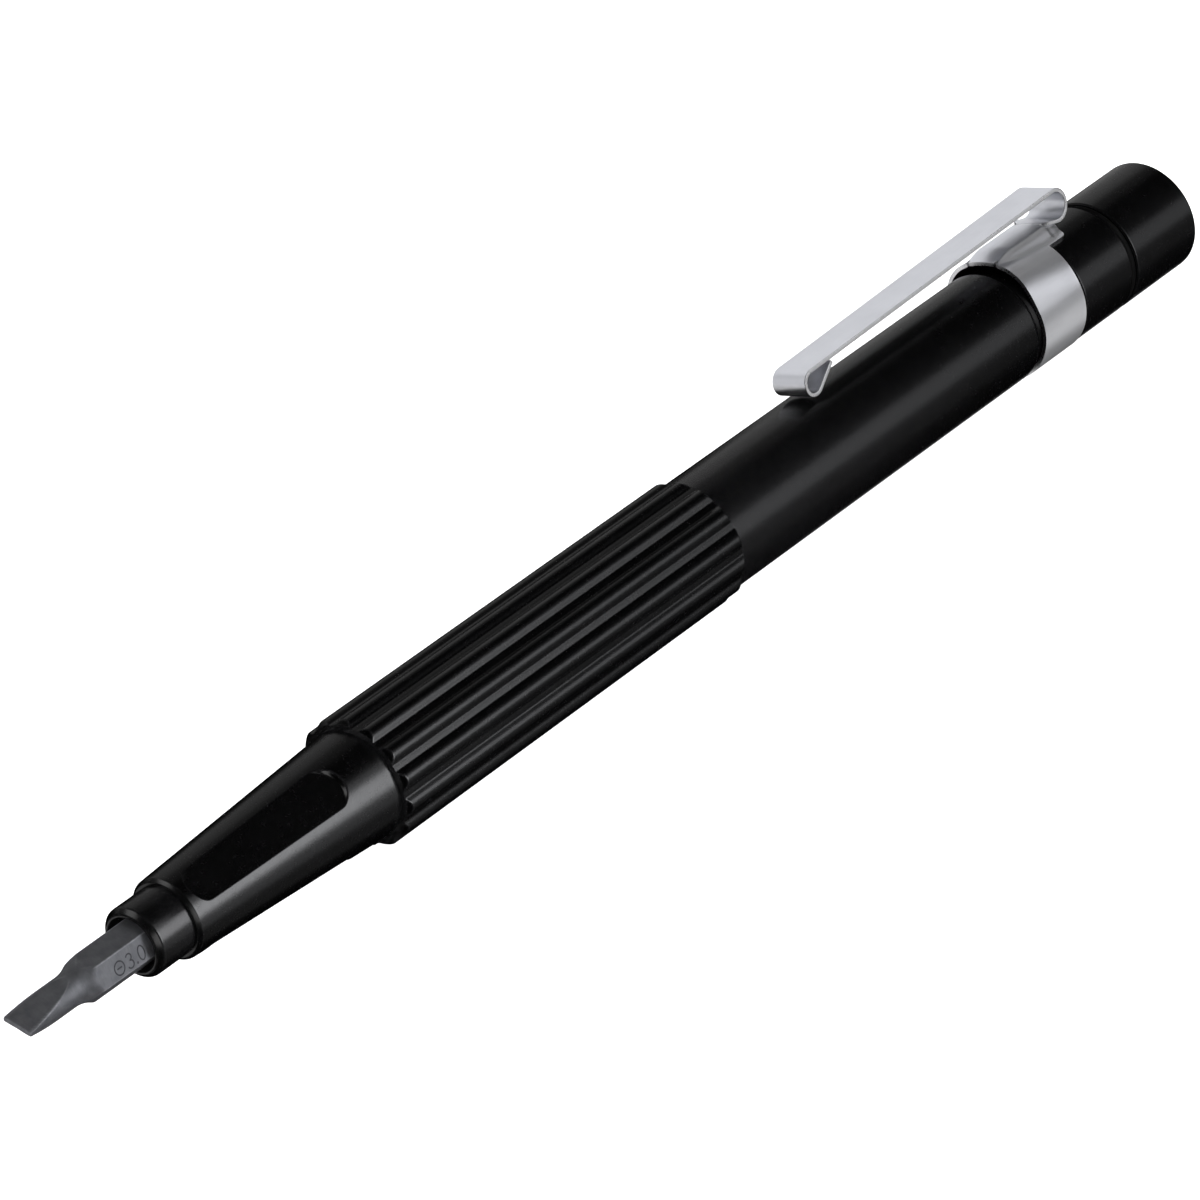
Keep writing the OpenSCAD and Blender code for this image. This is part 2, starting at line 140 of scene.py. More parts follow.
# Nose, with its finger flats
NOSE_FRONT = BIT_REACH + COLLAR_LEN
NOSE_LEN = 25.1
NOSE_FRONT_STEP = 0.55
NOSE_FRONT_R = COLLAR_R + NOSE_FRONT_STEP
NOSE_REAR_STEP = 0.47
NOSE_REAR_R = BARREL_R - NOSE_REAR_STEP
NOSE_BEVEL = 0.3
NOSE_SPIGOT_INSET = 1.45
NOSE_SPIGOT_R = SPIGOT_R - NOSE_SPIGOT_INSET
NOSE_SPIGOT_LEN = 6.0
FLAT_COUNT = 3
FLAT_ROLL = math.radians(29)
FLAT_START = 1.2
FLAT_LEN = 19.1
FLAT_FRONT = NOSE_FRONT + FLAT_START
FLAT_REAR = FLAT_FRONT + FLAT_LEN
FLAT_FRONT_DEPTH = 0.41
FLAT_REAR_DEPTH = 0.5
FLAT_MARGIN = 0.15
FLAT_WALL = 0.15
FLAT_EDGE = 0.03

# Grip
GRIP_FRONT = NOSE_FRONT + NOSE_LEN
GRIP_LEN = 48.5
GRIP_REAR = GRIP_FRONT + GRIP_LEN
GRIP_PROUD = 0.49
GRIP_R = BARREL_R + GRIP_PROUD
GRIP_BEVEL = 0.4
FLUTE_COUNT = 14
FLUTE_DEPTH = 0.5
FLUTE_FLOOR_R = GRIP_R - FLUTE_DEPTH
FLUTE_EDGE = 0.2
RIDGE_R = 1.0

# Barrel behind the grip, with the clip's seat, the seal and the cap
PLAIN_LEN = 47.3
SEAT_FRONT = GRIP_REAR + PLAIN_LEN
SEAT_LEN = 7.7
SEAT_REAR = SEAT_FRONT + SEAT_LEN
SEAT_DEPTH = 0.39
SEAT_R = BARREL_R - SEAT_DEPTH
TAIL_LEN = 7.85
BARREL_REAR = SEAT_REAR + TAIL_LEN
RIM_BEVEL = 0.15
RIM_ROUND = 0.1
FINE_EDGE = 0.05
SEAL_W = 0.9
CAP_FRONT = BARREL_REAR + SEAL_W
CAP_LEN = 10.25
TOOL_LEN = CAP_FRONT + CAP_LEN
CAP_BEVEL = 0.3
CUSHION_R = 1.8
POCKET_DEPTH = 3.0

# Cap's screw thread and the storage in front of it
THREAD_INSET = 1.3
THREAD_R = BARREL_R - THREAD_INSET
THREAD_FIT = 0.08
THREAD_LEN = 6.5
THREAD_PITCH = 0.75
THREAD_DEPTH = 0.32
THREAD_ROOM = 0.4
STORE_BORE_R = 3.333
STORE_FRONT = 63.25
STORE_REAR = CAP_FRONT - THREAD_LEN - THREAD_ROOM

# Clip: its band, which is lifted off the barrel below the arm
CLIP_T = 0.42
CLIP_ROLL = math.radians(-19)
BAND_R = SEAT_R + RUN_FIT + CLIP_T
BAND_W = 6.75
BAND_ROOM = 0.2
BAND_REAR = SEAT_REAR - BAND_ROOM
BAND_FRONT = BAND_REAR - BAND_W
SEAM_W = 0.6
LIFT_FRONT = 0.76
LIFT_REAR = 0.3
LIFT_START = math.radians(75)
LIFT_FULL = math.radians(27)
DIP_DEPTH = 0.12
DIP_START = math.radians(25)
DIP_FULL = math.radians(5)

# Clip: the rib on the band and the wings behind it
RIB_HALF = 1.85
RIB_FRONT_RISE = 0.67
RIB_FRONT_H = BARREL_R + RIB_FRONT_RISE
RIB_RISE = 1.2
RIB_H = BARREL_R + RIB_RISE
RIB_CROWN_R = 12.0
RIB_SHOULDER = 0.1
RIB_SLOPE = 1.7
RIB_TOP_EDGE = 0.5
RIB_FOOT_EDGE = 0.24
WING_LEN = 2.85
WING_HALF = 3.15
WING_CORNER = 0.6
NOTCH_DEPTH = 0.45
NOTCH_INNER = 1.5
NOTCH_OUTER = 1.82

# Clip: tongue, fold, arm and roll
TONGUE_GAP = 0.42
TONGUE_HALF = 1.45
TONGUE_LAP = 1.3
TONGUE_START = BAND_REAR + TONGUE_LAP
FOLD_R = 1.71
FOLD_REACH = 3.65
FOLD_S = BAND_REAR + FOLD_REACH
FOLD_H = BARREL_R + TONGUE_GAP + FOLD_R
ARM_RUN = 39.35
ARM_REAR_HALF = 2.15
ARM_FRONT_HALF = 2.0
ROLL_R = 1.38
ROLL_GAP = 0.15
ROLL_S = FOLD_S - ARM_RUN
ROLL_H = BARREL_R + ROLL_GAP + ROLL_R
LEAF_RUN = 3.05
LEAF_GAP = 0.12

# Fineness of the meshes
LATHE_STEPS = 192
FILLET_STEPS = 5
SHARP_ANGLE = math.radians(42)

# Where the blade's tip and the axis are in the frame, in metres
TIP_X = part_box("driver_bit")[0].x
AXIS_Z = next(j for j in frame["joints"] if j["name"] == "clip_turn")["pos_m"][2]


# Numbers and points


def clamp(x, low=0, high=1):
    return min(max(x, low), high)


def part_way(low, high, share):
    return low + (high - low) * share


def smooth_step(x, low, high):
    t = clamp((x - low) / (high - low))
    return t * t * (3 - 2 * t)


def soft_min(a, b, blend):
    """Smaller of two lengths, with the corner between them rounded."""
    near = max(blend - abs(a - b), 0) / blend
    return min(a, b) - near * near * blend / 4


def soft_max(a, b, blend):
    return -soft_min(-a, -b, blend)


def spread(start, end, steps):
    """Evenly spaced numbers from start up to but without end."""
    return [start + (end - start) * i / steps for i in range(steps)]


def spread_to(start, end, steps):
    """Evenly spaced numbers from start up to and with end."""
    return spread(start, end, steps) + [end]


def at(s, across, up):
    """Point at a station, with across towards the camera's side (-Y), in metres."""
    return Vector((TIP_X + s * MM, -across * MM, AXIS_Z + up * MM))


def rolled(s, across, up, roll):
    """Point drawn in a frame that is rolled about the axis, from up towards the camera's side."""
    c = math.cos(roll)
    n = math.sin(roll)
    return at(s, across * c + up * n, up * c - across * n)


def ring(s, radius, angles):
    """Points round the axis at one station; radius is a length or a function of the angle."""
    points = []
    for phi in angles:
        r = radius(phi) if callable(radius) else radius
        points.append(at(s, r * math.sin(phi), r * math.cos(phi)))
    return points


def arc(before, corner, after, radius):
    """Points of the arc that rounds one corner of an outline."""
    back = (before - corner).normalized()
    on = (after - corner).normalized()
    half = back.angle(on) / 2
    centre = corner + (back + on).normalized() * radius / math.sin(half)
    first = corner + back * radius / math.tan(half) - centre
    last = corner + on * radius / math.tan(half) - centre
    turn = first.angle(last)
    points = []
    for t in spread_to(0, 1, FILLET_STEPS):
        spoke = first * math.sin((1 - t) * turn) + last * math.sin(t * turn)
        points.append(centre + spoke / math.sin(turn))
    return points


def outline(corners, closed):
    """Outline of (station, radius, fillet) corners with each fillet drawn as an arc."""
    points = [Vector(c[:2]) for c in corners]
    drawn = []
    for i, corner in enumerate(corners):
        at_end = not closed and i in (0, len(corners) - 1)
        if at_end or corner[2] == 0:
            drawn.append(points[i])
        else:
            drawn += arc(points[i - 1], points[i], points[(i + 1) % len(points)], corner[2])
    return drawn


# Meshes and objects


def add_object(name, data):
    """New object in the scene."""
    made = bpy.data.objects.new(name, data)
    bpy.context.scene.collection.objects.link(made)
    return made


def mark_edges(bm):
    """Stores on each point how sharply the surface turns outwards there, for the painted highlight on the
    edges.
    """
    layer = bm.verts.layers.float.new("edge")
    round_turn = math.radians(3)
    full_turn = math.radians(14)
    for vert in bm.verts:
        turns = [e.calc_face_angle_signed(0) for e in vert.link_edges if len(e.link_faces) == 2]
        sharpest = max(turns, default=0)
        vert[layer] = clamp((sharpest - round_turn) / (full_turn - round_turn))


def to_object(name, bm):
    """Mesh object with smooth faces and normals that keep its flat faces flat."""
    weld = 1e-7
    bmesh.ops.remove_doubles(bm, verts=bm.verts, dist=weld)
    bmesh.ops.recalc_face_normals(bm, faces=bm.faces)
    mark_edges(bm)
    mesh = bpy.data.meshes.new(name)
    bm.to_mesh(mesh)
    bm.free()
    mesh.shade_smooth()
    mesh.set_sharp_from_angle(angle=SHARP_ANGLE)
    return add_object(name, mesh)


def flat_normals(piece):
    """Keeps the shading of large faces flat beside small rounded edges."""
    weigh = piece.modifiers.new("flat_faces", "WEIGHTED_NORMAL")
    weigh.keep_sharp = True
    return piece


def join_rings(bm, rings, closed):
    """Draws faces between rings that hold the same number of points, and returns their vertices."""
    rows = [[bm.verts.new(p) for p in points] for points in rings]
    count = len(rows[0])
    pairs = list(zip(rows, rows[1:]))
    if closed:
        pairs.append((rows[-1], rows[0]))
    for one, two in pairs:
        for i in range(count):
            j = (i + 1) % count
            bm.faces.new((one[i], one[j], two[j], two[i]))
    return rows


def skin(name, rings, closed=False):
    """Object over a row of rings; open ends are covered."""
    bm = bmesh.new()
    rows = join_rings(bm, rings, closed)
    if not closed:
        bm.faces.new(rows[0])
        bm.faces.new(rows[-1])
    return to_object(name, bm)


def lathe(name, corners, closed):
    """Turned piece from an outline of (station, radius, fillet) corners."""
    least_r = 1e-4
    angles = spread(0, TURN, LATHE_STEPS)
    rings = [ring(p.x, max(p.y, least_r), angles) for p in outline(corners, closed)]
    return flat_normals(skin(name, rings, closed))


def dress(piece, body, slot, material, *nodes):
    """Puts a piece on its body, in place of its CAD nodes, with its finish."""
    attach(piece, body)
    piece.data.materials.append(material)
    if nodes:
        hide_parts(*nodes)
    return piece


# Material nodes


def start_material(name):
    """New material with its shader and a point in the part's own frame for its patterns."""
    made = bpy.data.materials.new(name)
    made.use_nodes = True
    tree = made.node_tree
    place = tree.nodes.new("ShaderNodeTexCoord").outputs["Object"]
    return made, tree, tree.nodes["Principled BSDF"], place


def noise(tree, place, per_metre, detail=3.0, stretch=(1, 1, 1)):
    """Noise with so many grains to the metre, drawn out along an axis where stretch is below 1."""
    scale = tree.nodes.new("ShaderNodeMapping")
    scale.inputs["Scale"].default_value = [per_metre * k for k in stretch]
    made = tree.nodes.new("ShaderNodeTexNoise")
    made.inputs["Scale"].default_value = 1
    made.inputs["Detail"].default_value = detail
    tree.links.new(place, scale.inputs["Vector"])
    tree.links.new(scale.outputs["Vector"], made.inputs["Vector"])
    return made.outputs["Fac"]


def between(tree, factor, low, high):
    """A value that goes from low to high over the range in which most of a noise lies."""
    usual_low = 0.3
    usual_high = 0.7
    made = tree.nodes.new("ShaderNodeMapRange")
    made.inputs["From Min"].default_value = usual_low
    made.inputs["From Max"].default_value = usual_high
    made.inputs["To Min"].default_value = low
    made.inputs["To Max"].default_value = high
    tree.links.new(factor, made.inputs["Value"])
    return made.outputs["Result"]


def math_node(tree, operation, a, b):
    made = tree.nodes.new("ShaderNodeMath")
    made.operation = operation
    for socket, value in zip(made.inputs, (a, b)):
        if isinstance(value, (int, float)):
            socket.default_value = value
        else:
            tree.links.new(value, socket)
    return made.outputs["Value"]


def mix(tree, factor, low, high):
    """Colour between two others, each a colour or a socket."""
    made = tree.nodes.new("ShaderNodeMix")
    made.data_type = "RGBA"
    tree.links.new(factor, made.inputs["Factor"])
    for socket, value in ((made.inputs["A"], low), (made.inputs["B"], high)):
        if isinstance(value, tuple):
            socket.default_value = (*value, 1)
        else:
            tree.links.new(value, socket)
    return made.outputs["Result"]


def cloudy(tree, place, per_metre, dark, pale, detail=4):
    """Tone that drifts between two colours, with so many clouds to the metre."""
    return mix(tree, between(tree, noise(tree, place, per_metre, detail), 0, 1), dark, pale)


def painted_edge_highlight(tree, place, share):
    """Mask of the painted highlight along the edges: the mesh's own edge value, broken up by a fine
    pattern.
    """
    edge = tree.nodes.new("ShaderNodeAttribute")
    edge.attribute_name = "edge"
    broken = between(tree, noise(tree, place, 2600), 0.35, 1.0)
    # Painted highlight: how strongly each edge is painted lighter
    edge_highlight = math_node(tree, "MULTIPLY", edge.outputs["Fac"], broken)
    return math_node(tree, "MULTIPLY", edge_highlight, share)


def glossier_at_edges(tree, gloss, highlight_mask, by):
    """Roughness that drops along the edges, where the painted highlight lies."""
    return math_node(tree, "ADD", gloss, math_node(tree, "MULTIPLY", highlight_mask, -by))


def coat(tree, shader, tone, roughness):
    tree.links.new(tone, shader.inputs["Base Color"])
    tree.links.new(roughness, shader.inputs["Roughness"])


def bump(tree, shader, height, depth, strength):
    made = tree.nodes.new("ShaderNodeBump")
    made.inputs["Strength"].default_value = strength
    made.inputs["Distance"].default_value = depth
    tree.links.new(height, made.inputs["Height"])
    tree.links.new(made.outputs["Normal"], shader.inputs["Normal"])


# Finishes


def black_finish(name, edge_highlight, blast):
    """Bead-blasted black surface: fine dimples, cloudy gloss, and edges that are glossier and painted
    lighter as a highlight.
    """
    made, tree, shader, place = start_material(name)
    highlight_mask = painted_edge_highlight(tree, place, 0.45)
    tone = cloudy(tree, place, 420, (0.0003, 0.0003, 0.00035), (0.0008, 0.0008, 0.0009))
    gloss = between(tree, noise(tree, place, 1500, 4), 0.25, 0.28)
    # The edges are painted in a lighter tone: a painted highlight
    coat(tree, shader, mix(tree, highlight_mask, tone, edge_highlight), glossier_at_edges(tree, gloss, highlight_mask, 0.12))
    shader.inputs["IOR"].default_value = 1.5
    shader.inputs["Specular IOR Level"].default_value = 0.5
    bump(tree, shader, noise(tree, place, 11000, 2), 10 * MICRON, blast)
    return made


def clip_finish():
    """Satin nickel on rolled spring steel: drawn grain along the strip, and smoother edges painted lighter
    as a highlight.
    """
    made, tree, shader, place = start_material("satin_nickel")
    highlight_mask = painted_edge_highlight(tree, place, 0.6)
    tone = cloudy(tree, place, 260, (0.67, 0.675, 0.7), (0.73, 0.735, 0.76))
    grain = noise(tree, place, 5200, 4, (0.08, 1, 1))
    gloss = between(tree, grain, 0.32, 0.4)
    # The edges are painted nearly white: a painted highlight
    coat(tree, shader, mix(tree, highlight_mask, tone, (0.9, 0.9, 0.9)), glossier_at_edges(tree, gloss, highlight_mask, 0.15))
    shader.inputs["Metallic"].default_value = 1
    bump(tree, shader, grain, 6 * MICRON, 0.12)
    return made


def bit_finish():
    """Gunmetal bit steel: fine-blasted, with turning lines round the neck and edges painted lighter as a
    highlight.
    """
    made, tree, shader, place = start_material("gunmetal_steel")
    highlight_mask = painted_edge_highlight(tree, place, 0.5)
    tone = cloudy(tree, place, 900, (0.098, 0.1, 0.108), (0.135, 0.137, 0.147))
    lines = noise(tree, place, 9000, 3, (1, 0.15, 0.15))
    # The edges are painted lighter: a painted highlight
    coat(tree, shader, mix(tree, highlight_mask, tone, (0.34, 0.34, 0.36)), between(tree, lines, 0.52, 0.64))
    shader.inputs["Metallic"].default_value = 0.8
    bump(tree, shader, noise(tree, place, 11000, 2), 8 * MICRON, 0.08)
    return made


def rubber_finish(name, tone, sheen, shine):
    """Moulded rubber: matt, slightly dusty, with a fine skin."""
    made, tree, shader, place = start_material(name)
    dusty = tuple(k * 2 for k in tone)
    gloss = between(tree, noise(tree, place, 2200), 0.6, 0.8)
    coat(tree, shader, cloudy(tree, place, 700, tone, dusty), gloss)
    shader.inputs["Sheen Weight"].default_value = sheen
    shader.inputs["Specular IOR Level"].default_value = shine
    bump(tree, shader, noise(tree, place, 6000, 3), 10 * MICRON, 0.2)
    return made


def plastic_finish():
    """Moulded storage insert: satin black plastic with a fine spark-eroded texture."""
    made, tree, shader, place = start_material("moulded_plastic")
    tone = cloudy(tree, place, 500, (0.03, 0.03, 0.033), (0.05, 0.05, 0.054), 3)
    coat(tree, shader, tone, between(tree, noise(tree, place, 3000), 0.4, 0.55))
    bump(tree, shader, noise(tree, place, 5000, 2), 10 * MICRON, 0.25)
    return made


def magnet_finish():
    """Nickel-plated magnet: bright, with a faint orange-peel skin."""
    made, tree, shader, place = start_material("plated_magnet")
    tone = cloudy(tree, place, 1200, (0.62, 0.61, 0.58), (0.72, 0.71, 0.68))
    coat(tree, shader, tone, between(tree, noise(tree, place, 2500), 0.14, 0.24))
    shader.inputs["Metallic"].default_value = 1
    bump(tree, shader, noise(tree, place, 1800, 2), 10 * MICRON, 0.15)
    return made


def mark_finish():
    """Etched size mark on the bit: a darker tone of its steel with an etched grain."""
    made, tree, shader, place = start_material("etched_mark")
    tone = cloudy(tree, place, 9000, (0.03, 0.03, 0.033), (0.05, 0.05, 0.054), 3)
    coat(tree, shader, tone, between(tree, noise(tree, place, 7000), 0.5, 0.65))
    shader.inputs["Metallic"].default_value = 0.8
    bump(tree, shader, noise(tree, place, 12000, 2), 10 * MICRON, 0.3)
    return made


# The second tone of each black finish is the painted highlight along its edges
ANODISED = black_finish("black_anodised", edge_highlight=(0.012, 0.012, 0.013), blast=0.22)
BLACKENED = black_finish("blackened_steel", edge_highlight=(0.015, 0.015, 0.016), blast=0.12)
NICKEL = clip_finish()
BIT_STEEL = bit_finish()
SEAL_RUBBER = rubber_finish("seal_rubber", (0.0008, 0.0008, 0.0008), sheen=0.0, shine=0.08)
CUSHION_RUBBER = rubber_finish("cushion_rubber", (0.03, 0.03, 0.03), sheen=0.1, shine=0.3)
PLASTIC = plastic_finish()
MAGNET_PLATE = magnet_finish()
MARK = mark_finish()


# Bit


def hex_reach(phi, half, edge):
    """Distance from the axis to a hexagon's side in some direction, with its corners rounded."""
    off = abs((phi - BIT_ROLL + SIXTH / 2) % SIXTH - SIXTH / 2)
    return soft_min(half / math.cos(off), half / math.cos(SIXTH - off), edge)


def turned_reach(s):
    """Radius of the bit's turned neck and of the hollow sweep from it up to the hexagon."""
    past = clamp(s - SWEEP_START, 0, SWEEP_R)
    return NECK_R + SWEEP_R - math.sqrt(SWEEP_R ** 2 - past ** 2)


def bit_reach(s, phi):
    """Radius of the bit: hexagon, turned neck with its sweep, and the two ground flats of the blade."""
    edge = 0.06
    run_out = 0.2
    least_cos = 1e-3
    hexagon = hex_reach(phi, BIT_AF / 2, edge)
    blade_half = BLADE_TIP / 2 + (NECK_R - BLADE_TIP / 2) / BLADE_LEN * s
    flat = blade_half / max(abs(math.cos(phi - BIT_ROLL)), least_cos)
    return soft_min(soft_min(hexagon, turned_reach(s), run_out), flat, edge / 2)


def hex_angles():
    """Directions round the bit, closer together at the hexagon's corners."""
    steps = 26
    even = 0.45
    angles = []
    for side in range(6):
        for i in range(steps):
            t = 2 * i / steps - 1
            bent = even * t + (1 - even) * math.sin(t * math.pi / 2)
            angles.append(BIT_ROLL + SIXTH * (side + bent / 2))
    return angles


def make_bit():
    tip_edge = 0.03
    rear_bevel = 0.3
    rear = BIT_LEN - rear_bevel
    fine_start = SWEEP_START - 2
    fine_end = SWEEP_START + 3
    angles = hex_angles()
    rows = spread(tip_edge, fine_start, 40) + spread(fine_start, fine_end, 110)
    rows += spread_to(fine_end, rear, 6)
    rings = [ring(0, lambda phi: bit_reach(0, phi) - tip_edge, angles)]
    rings += [ring(s, lambda phi, s=s: bit_reach(s, phi), angles) for s in rows]
    rings.append(ring(BIT_LEN, lambda phi: bit_reach(BIT_LEN, phi) - rear_bevel, angles))
    dress(skin("driver_bit_steel", rings), "bit", "bit_steel", BIT_STEEL, "driver_bit")


def stroke(bm, points, width, closed, to_face):
    """Flat line of some width along points drawn on the bit's marked face."""
    count = len(points)
    edges = []
    for i, p in enumerate(points):
        before = points[i - 1] if closed or i > 0 else p
        after = points[(i + 1) % count] if closed or i < count - 1 else p
        along = (after - before).normalized()
        side = Vector((-along.y, along.x)) * width / 2
        edges.append((bm.verts.new(to_face(p + side)), bm.verts.new(to_face(p - side))))
    pairs = list(zip(edges, edges[1:]))
    if closed:
        pairs.append((edges[-1], edges[0]))
    for (a, b), (c, d) in pairs:
        bm.faces.new((a, b, d, c))


def curve(centre, half_w, half_h, start, end, steps=28):
    """Points on an ellipse between two angles in degrees."""
    turns = [math.radians(start + (end - start) * i / steps) for i in range(steps + 1)]
    return [Vector((centre[0] + half_w * math.cos(a), centre[1] + half_h * math.sin(a))) for a in turns]


def oval(centre, half_w, half_h, gap=12, steps=30):
    """Points round an ellipse, the last one a gap in degrees before the first."""
    return curve(centre, half_w, half_h, 0, 360 - gap, steps)


def make_mark():
    """Slot symbol and plain size number etched on one side of the bit."""
    face_roll = BIT_ROLL + SIXTH
    proud = 0.004
    line = 0.14
    middle = -0.21
    half_h = 0.64
    symbol_s = 10.7
    symbol_half_w = 0.58
    symbol_half_h = 0.6
    slot_half = 0.3
    three_s = 11.98
    three_top_half_w = 0.31
    three_low_half_w = 0.36
    three_top_share = 0.46
    point_s = 12.74
    point_r = 0.05
    point_line = line * 0.9
    zero_s = 13.45
    zero_half_w = 0.36

    def to_face(p):
        return rolled(p.x, -p.y, BIT_AF / 2 + proud, face_roll)

    bm = bmesh.new()
    stroke(bm, oval((symbol_s, middle), symbol_half_w, symbol_half_h), line, True, to_face)
    slot = [Vector((symbol_s - slot_half, middle)), Vector((symbol_s + slot_half, middle))]
    stroke(bm, slot, line, False, to_face)
    top_half = half_h * three_top_share
    low_half = half_h - top_half
    upper = curve((three_s, middle + half_h - top_half), three_top_half_w, top_half, 160, -90)
    lower = curve((three_s, middle - half_h + low_half), three_low_half_w, low_half, 90, -160)
    stroke(bm, upper + lower[1:], line, False, to_face)
    point = oval((point_s, middle - half_h + line / 2), point_r, point_r, gap=30, steps=10)
    stroke(bm, point, point_line, True, to_face)
    stroke(bm, oval((zero_s, middle), zero_half_w, half_h), line, True, to_face)
    dress(to_object("bit_size_mark", bm), "bit", "bit_steel", MARK)


# Collar and nose


def make_collar():
    """Socket with its round mouth, bevelled collar and the hexagon behind it."""
    lip_edge = 0.06
    inner_edge = 0.02
    hex_edge = 0.04
    core_r = 0.01
    mouth_floor = BIT_REACH + MOUTH_DEPTH
    pocket_r = MAGNET_R + SEAT_FIT
    corners = [(BIT_REACH + MOUTH_LEAD_LEN, MOUTH_R, 0),
               (BIT_REACH, MOUTH_R + MOUTH_LEAD, lip_edge),
               (BIT_REACH, COLLAR_R - COLLAR_BEVEL, COLLAR_BEVEL_ROUND),
               (BIT_REACH + COLLAR_BEVEL, COLLAR_R, COLLAR_BEVEL_ROUND),
               (NOSE_FRONT, COLLAR_R, inner_edge),
               (NOSE_FRONT, SHANK_R, inner_edge),
               (SOCKET_REAR, SHANK_R, FINE_EDGE),
               (SOCKET_REAR, core_r, 0),
               (MAGNET_REAR, core_r, 0),
               (MAGNET_REAR, pocket_r, inner_edge),
               (MAGNET_FRONT, pocket_r, 0),
               (mouth_floor, MOUTH_R, inner_edge)]
    angles = hex_angles()
    rings = [ring(p.x, p.y, angles) for p in outline(corners, True)]
    half = BIT_AF / 2 + RUN_FIT
    hexagon = [ring(s, lambda phi: hex_reach(phi, half, hex_edge), angles)
               for s in (MAGNET_FRONT, mouth_floor)]
    # The hexagon comes before the arc of the outline's last corner, at the mouth's floor
    turn_in = len(rings) - FILLET_STEPS - 1
    piece = skin("collar", rings[:turn_in] + hexagon + rings[turn_in:], True)
    dress(flat_normals(piece), "handle", "black_steel", BLACKENED, "bit_socket")


def nose_reach(s):
    return part_way(NOSE_FRONT_R, NOSE_REAR_R, (s - NOSE_FRONT) / NOSE_LEN)


def flat_end_r(s, depth):
    return math.sqrt(nose_reach(s) ** 2 - (nose_reach(s) - depth) ** 2) + FLAT_MARGIN


def flat_cut(s, off):
    """How far a finger flat lies below the cone, off its middle by an angle."""
    front_r = flat_end_r(FLAT_FRONT, FLAT_FRONT_DEPTH)
    rear_r = flat_end_r(FLAT_REAR, FLAT_REAR_DEPTH)
    front = FLAT_FRONT + front_r
    rear = FLAT_REAR - rear_r
    low = nose_reach(front) - FLAT_FRONT_DEPTH
    high = nose_reach(rear) - FLAT_REAR_DEPTH
    floor = part_way(low, high, (s - front) / (rear - front))
    depth = nose_reach(s) - floor / math.cos(off)
    across = nose_reach(s) * math.sin(off)
    if s < front:
        past = math.hypot(s - front, across) - front_r
    elif s > rear:
        past = math.hypot(s - rear, across) - rear_r
    else:
        past = abs(across) - max(front_r, rear_r)
    return soft_max(depth, 0, FLAT_EDGE) * (1 - smooth_step(past, -FLAT_WALL, FLAT_WALL))


def nose_angles():
    """Directions round the nose, closer together along the edges of the finger flats."""
    degrees_off_flat = [-60, -34, -22, -14, 14, 22, 34, 60]
    steps = [10, 24, 12, 16, 12, 24, 10]
    angles = []
    for i in range(FLAT_COUNT):
        middle = FLAT_ROLL + TURN * i / FLAT_COUNT
        for low, high, count in zip(degrees_off_flat, degrees_off_flat[1:], steps):
            angles += [middle + math.radians(a) for a in spread(low, high, count)]
    return angles


def make_nose():
    """Tapered nose with its finger flats; the rows lie closest at the flats' round ends."""
    edge = 0.12
    bore_r = SHANK_R + SEAT_FIT
    bevel_end = NOSE_FRONT + NOSE_BEVEL
    spigot_end = GRIP_FRONT + NOSE_SPIGOT_LEN
    cone_start = NOSE_FRONT + 0.6
    front_start = FLAT_FRONT - 0.12
    front_end = FLAT_FRONT + 2.4
    rear_start = FLAT_REAR - 2.9
    rear_end = FLAT_REAR + 0.2
    third = TURN / FLAT_COUNT
    angles = nose_angles()

    def surface(s):
        return lambda phi: nose_reach(s) - flat_cut(s, (phi - FLAT_ROLL + third / 2) % third - third / 2)

    front = outline([(NOSE_FRONT, bore_r, 0), (NOSE_FRONT, NOSE_FRONT_R - NOSE_BEVEL, edge),
                     (bevel_end, nose_reach(bevel_end), edge), (GRIP_FRONT, NOSE_REAR_R, 0)], False)[:-1]
    rows = spread(cone_start, front_start, 4) + spread(front_start, front_end, 46)
    rows += spread(front_end, rear_start, 14) + spread(rear_start, rear_end, 66)
    rows += spread_to(rear_end, GRIP_FRONT, 6)
    rings = [ring(p.x, p.y, angles) for p in front]
    rings += [ring(s, surface(s), angles) for s in rows]
    rings += [ring(GRIP_FRONT, NOSE_SPIGOT_R, angles), ring(spigot_end, NOSE_SPIGOT_R, angles),
              ring(spigot_end, bore_r, angles)]
    dress(skin("nose_taper", rings, True), "handle", "black_aluminium", ANODISED, "nose_cone")


# Grip


def flute_reach(phi):
    """Radius of the fluted section: round-backed ridges with a flute at the very top."""
    pitch = TURN / FLUTE_COUNT
    off = abs(phi % pitch - pitch / 2)
    centre_r = GRIP_R - RIDGE_R
    across = min(centre_r * math.sin(off), RIDGE_R)
    ridge = centre_r * math.cos(off) + math.sqrt(RIDGE_R ** 2 - across ** 2)
    return soft_max(ridge, FLUTE_FLOOR_R, FLUTE_EDGE)


def make_grip():
    """Fluted sleeve with both ends bevelled."""
    steps_per_flute = 44
    bevel_edge = 0.1
    bevel_end = 0.6
    plain_start = 1.2
    bore_r = SPIGOT_R + SEAT_FIT
    angles = spread(0, TURN, FLUTE_COUNT * steps_per_flute)

    def surface(inset):
        limit = GRIP_R - GRIP_BEVEL + inset
        return lambda phi: soft_min(flute_reach(phi), limit, bevel_edge)

    insets = spread_to(0, bevel_end, 14) + [plain_start]
    stations = [(GRIP_FRONT + d, d) for d in insets]
    stations += [(GRIP_REAR - d, d) for d in reversed(insets)]
    rings = [ring(GRIP_FRONT, bore_r, angles)]
    rings += [ring(s, surface(d), angles) for s, d in stations]
    rings.append(ring(GRIP_REAR, bore_r, angles))
    dress(skin("fluted_grip", rings, True), "handle", "black_aluminium", ANODISED, "grip_sleeve")


# Barrel, seal and cap


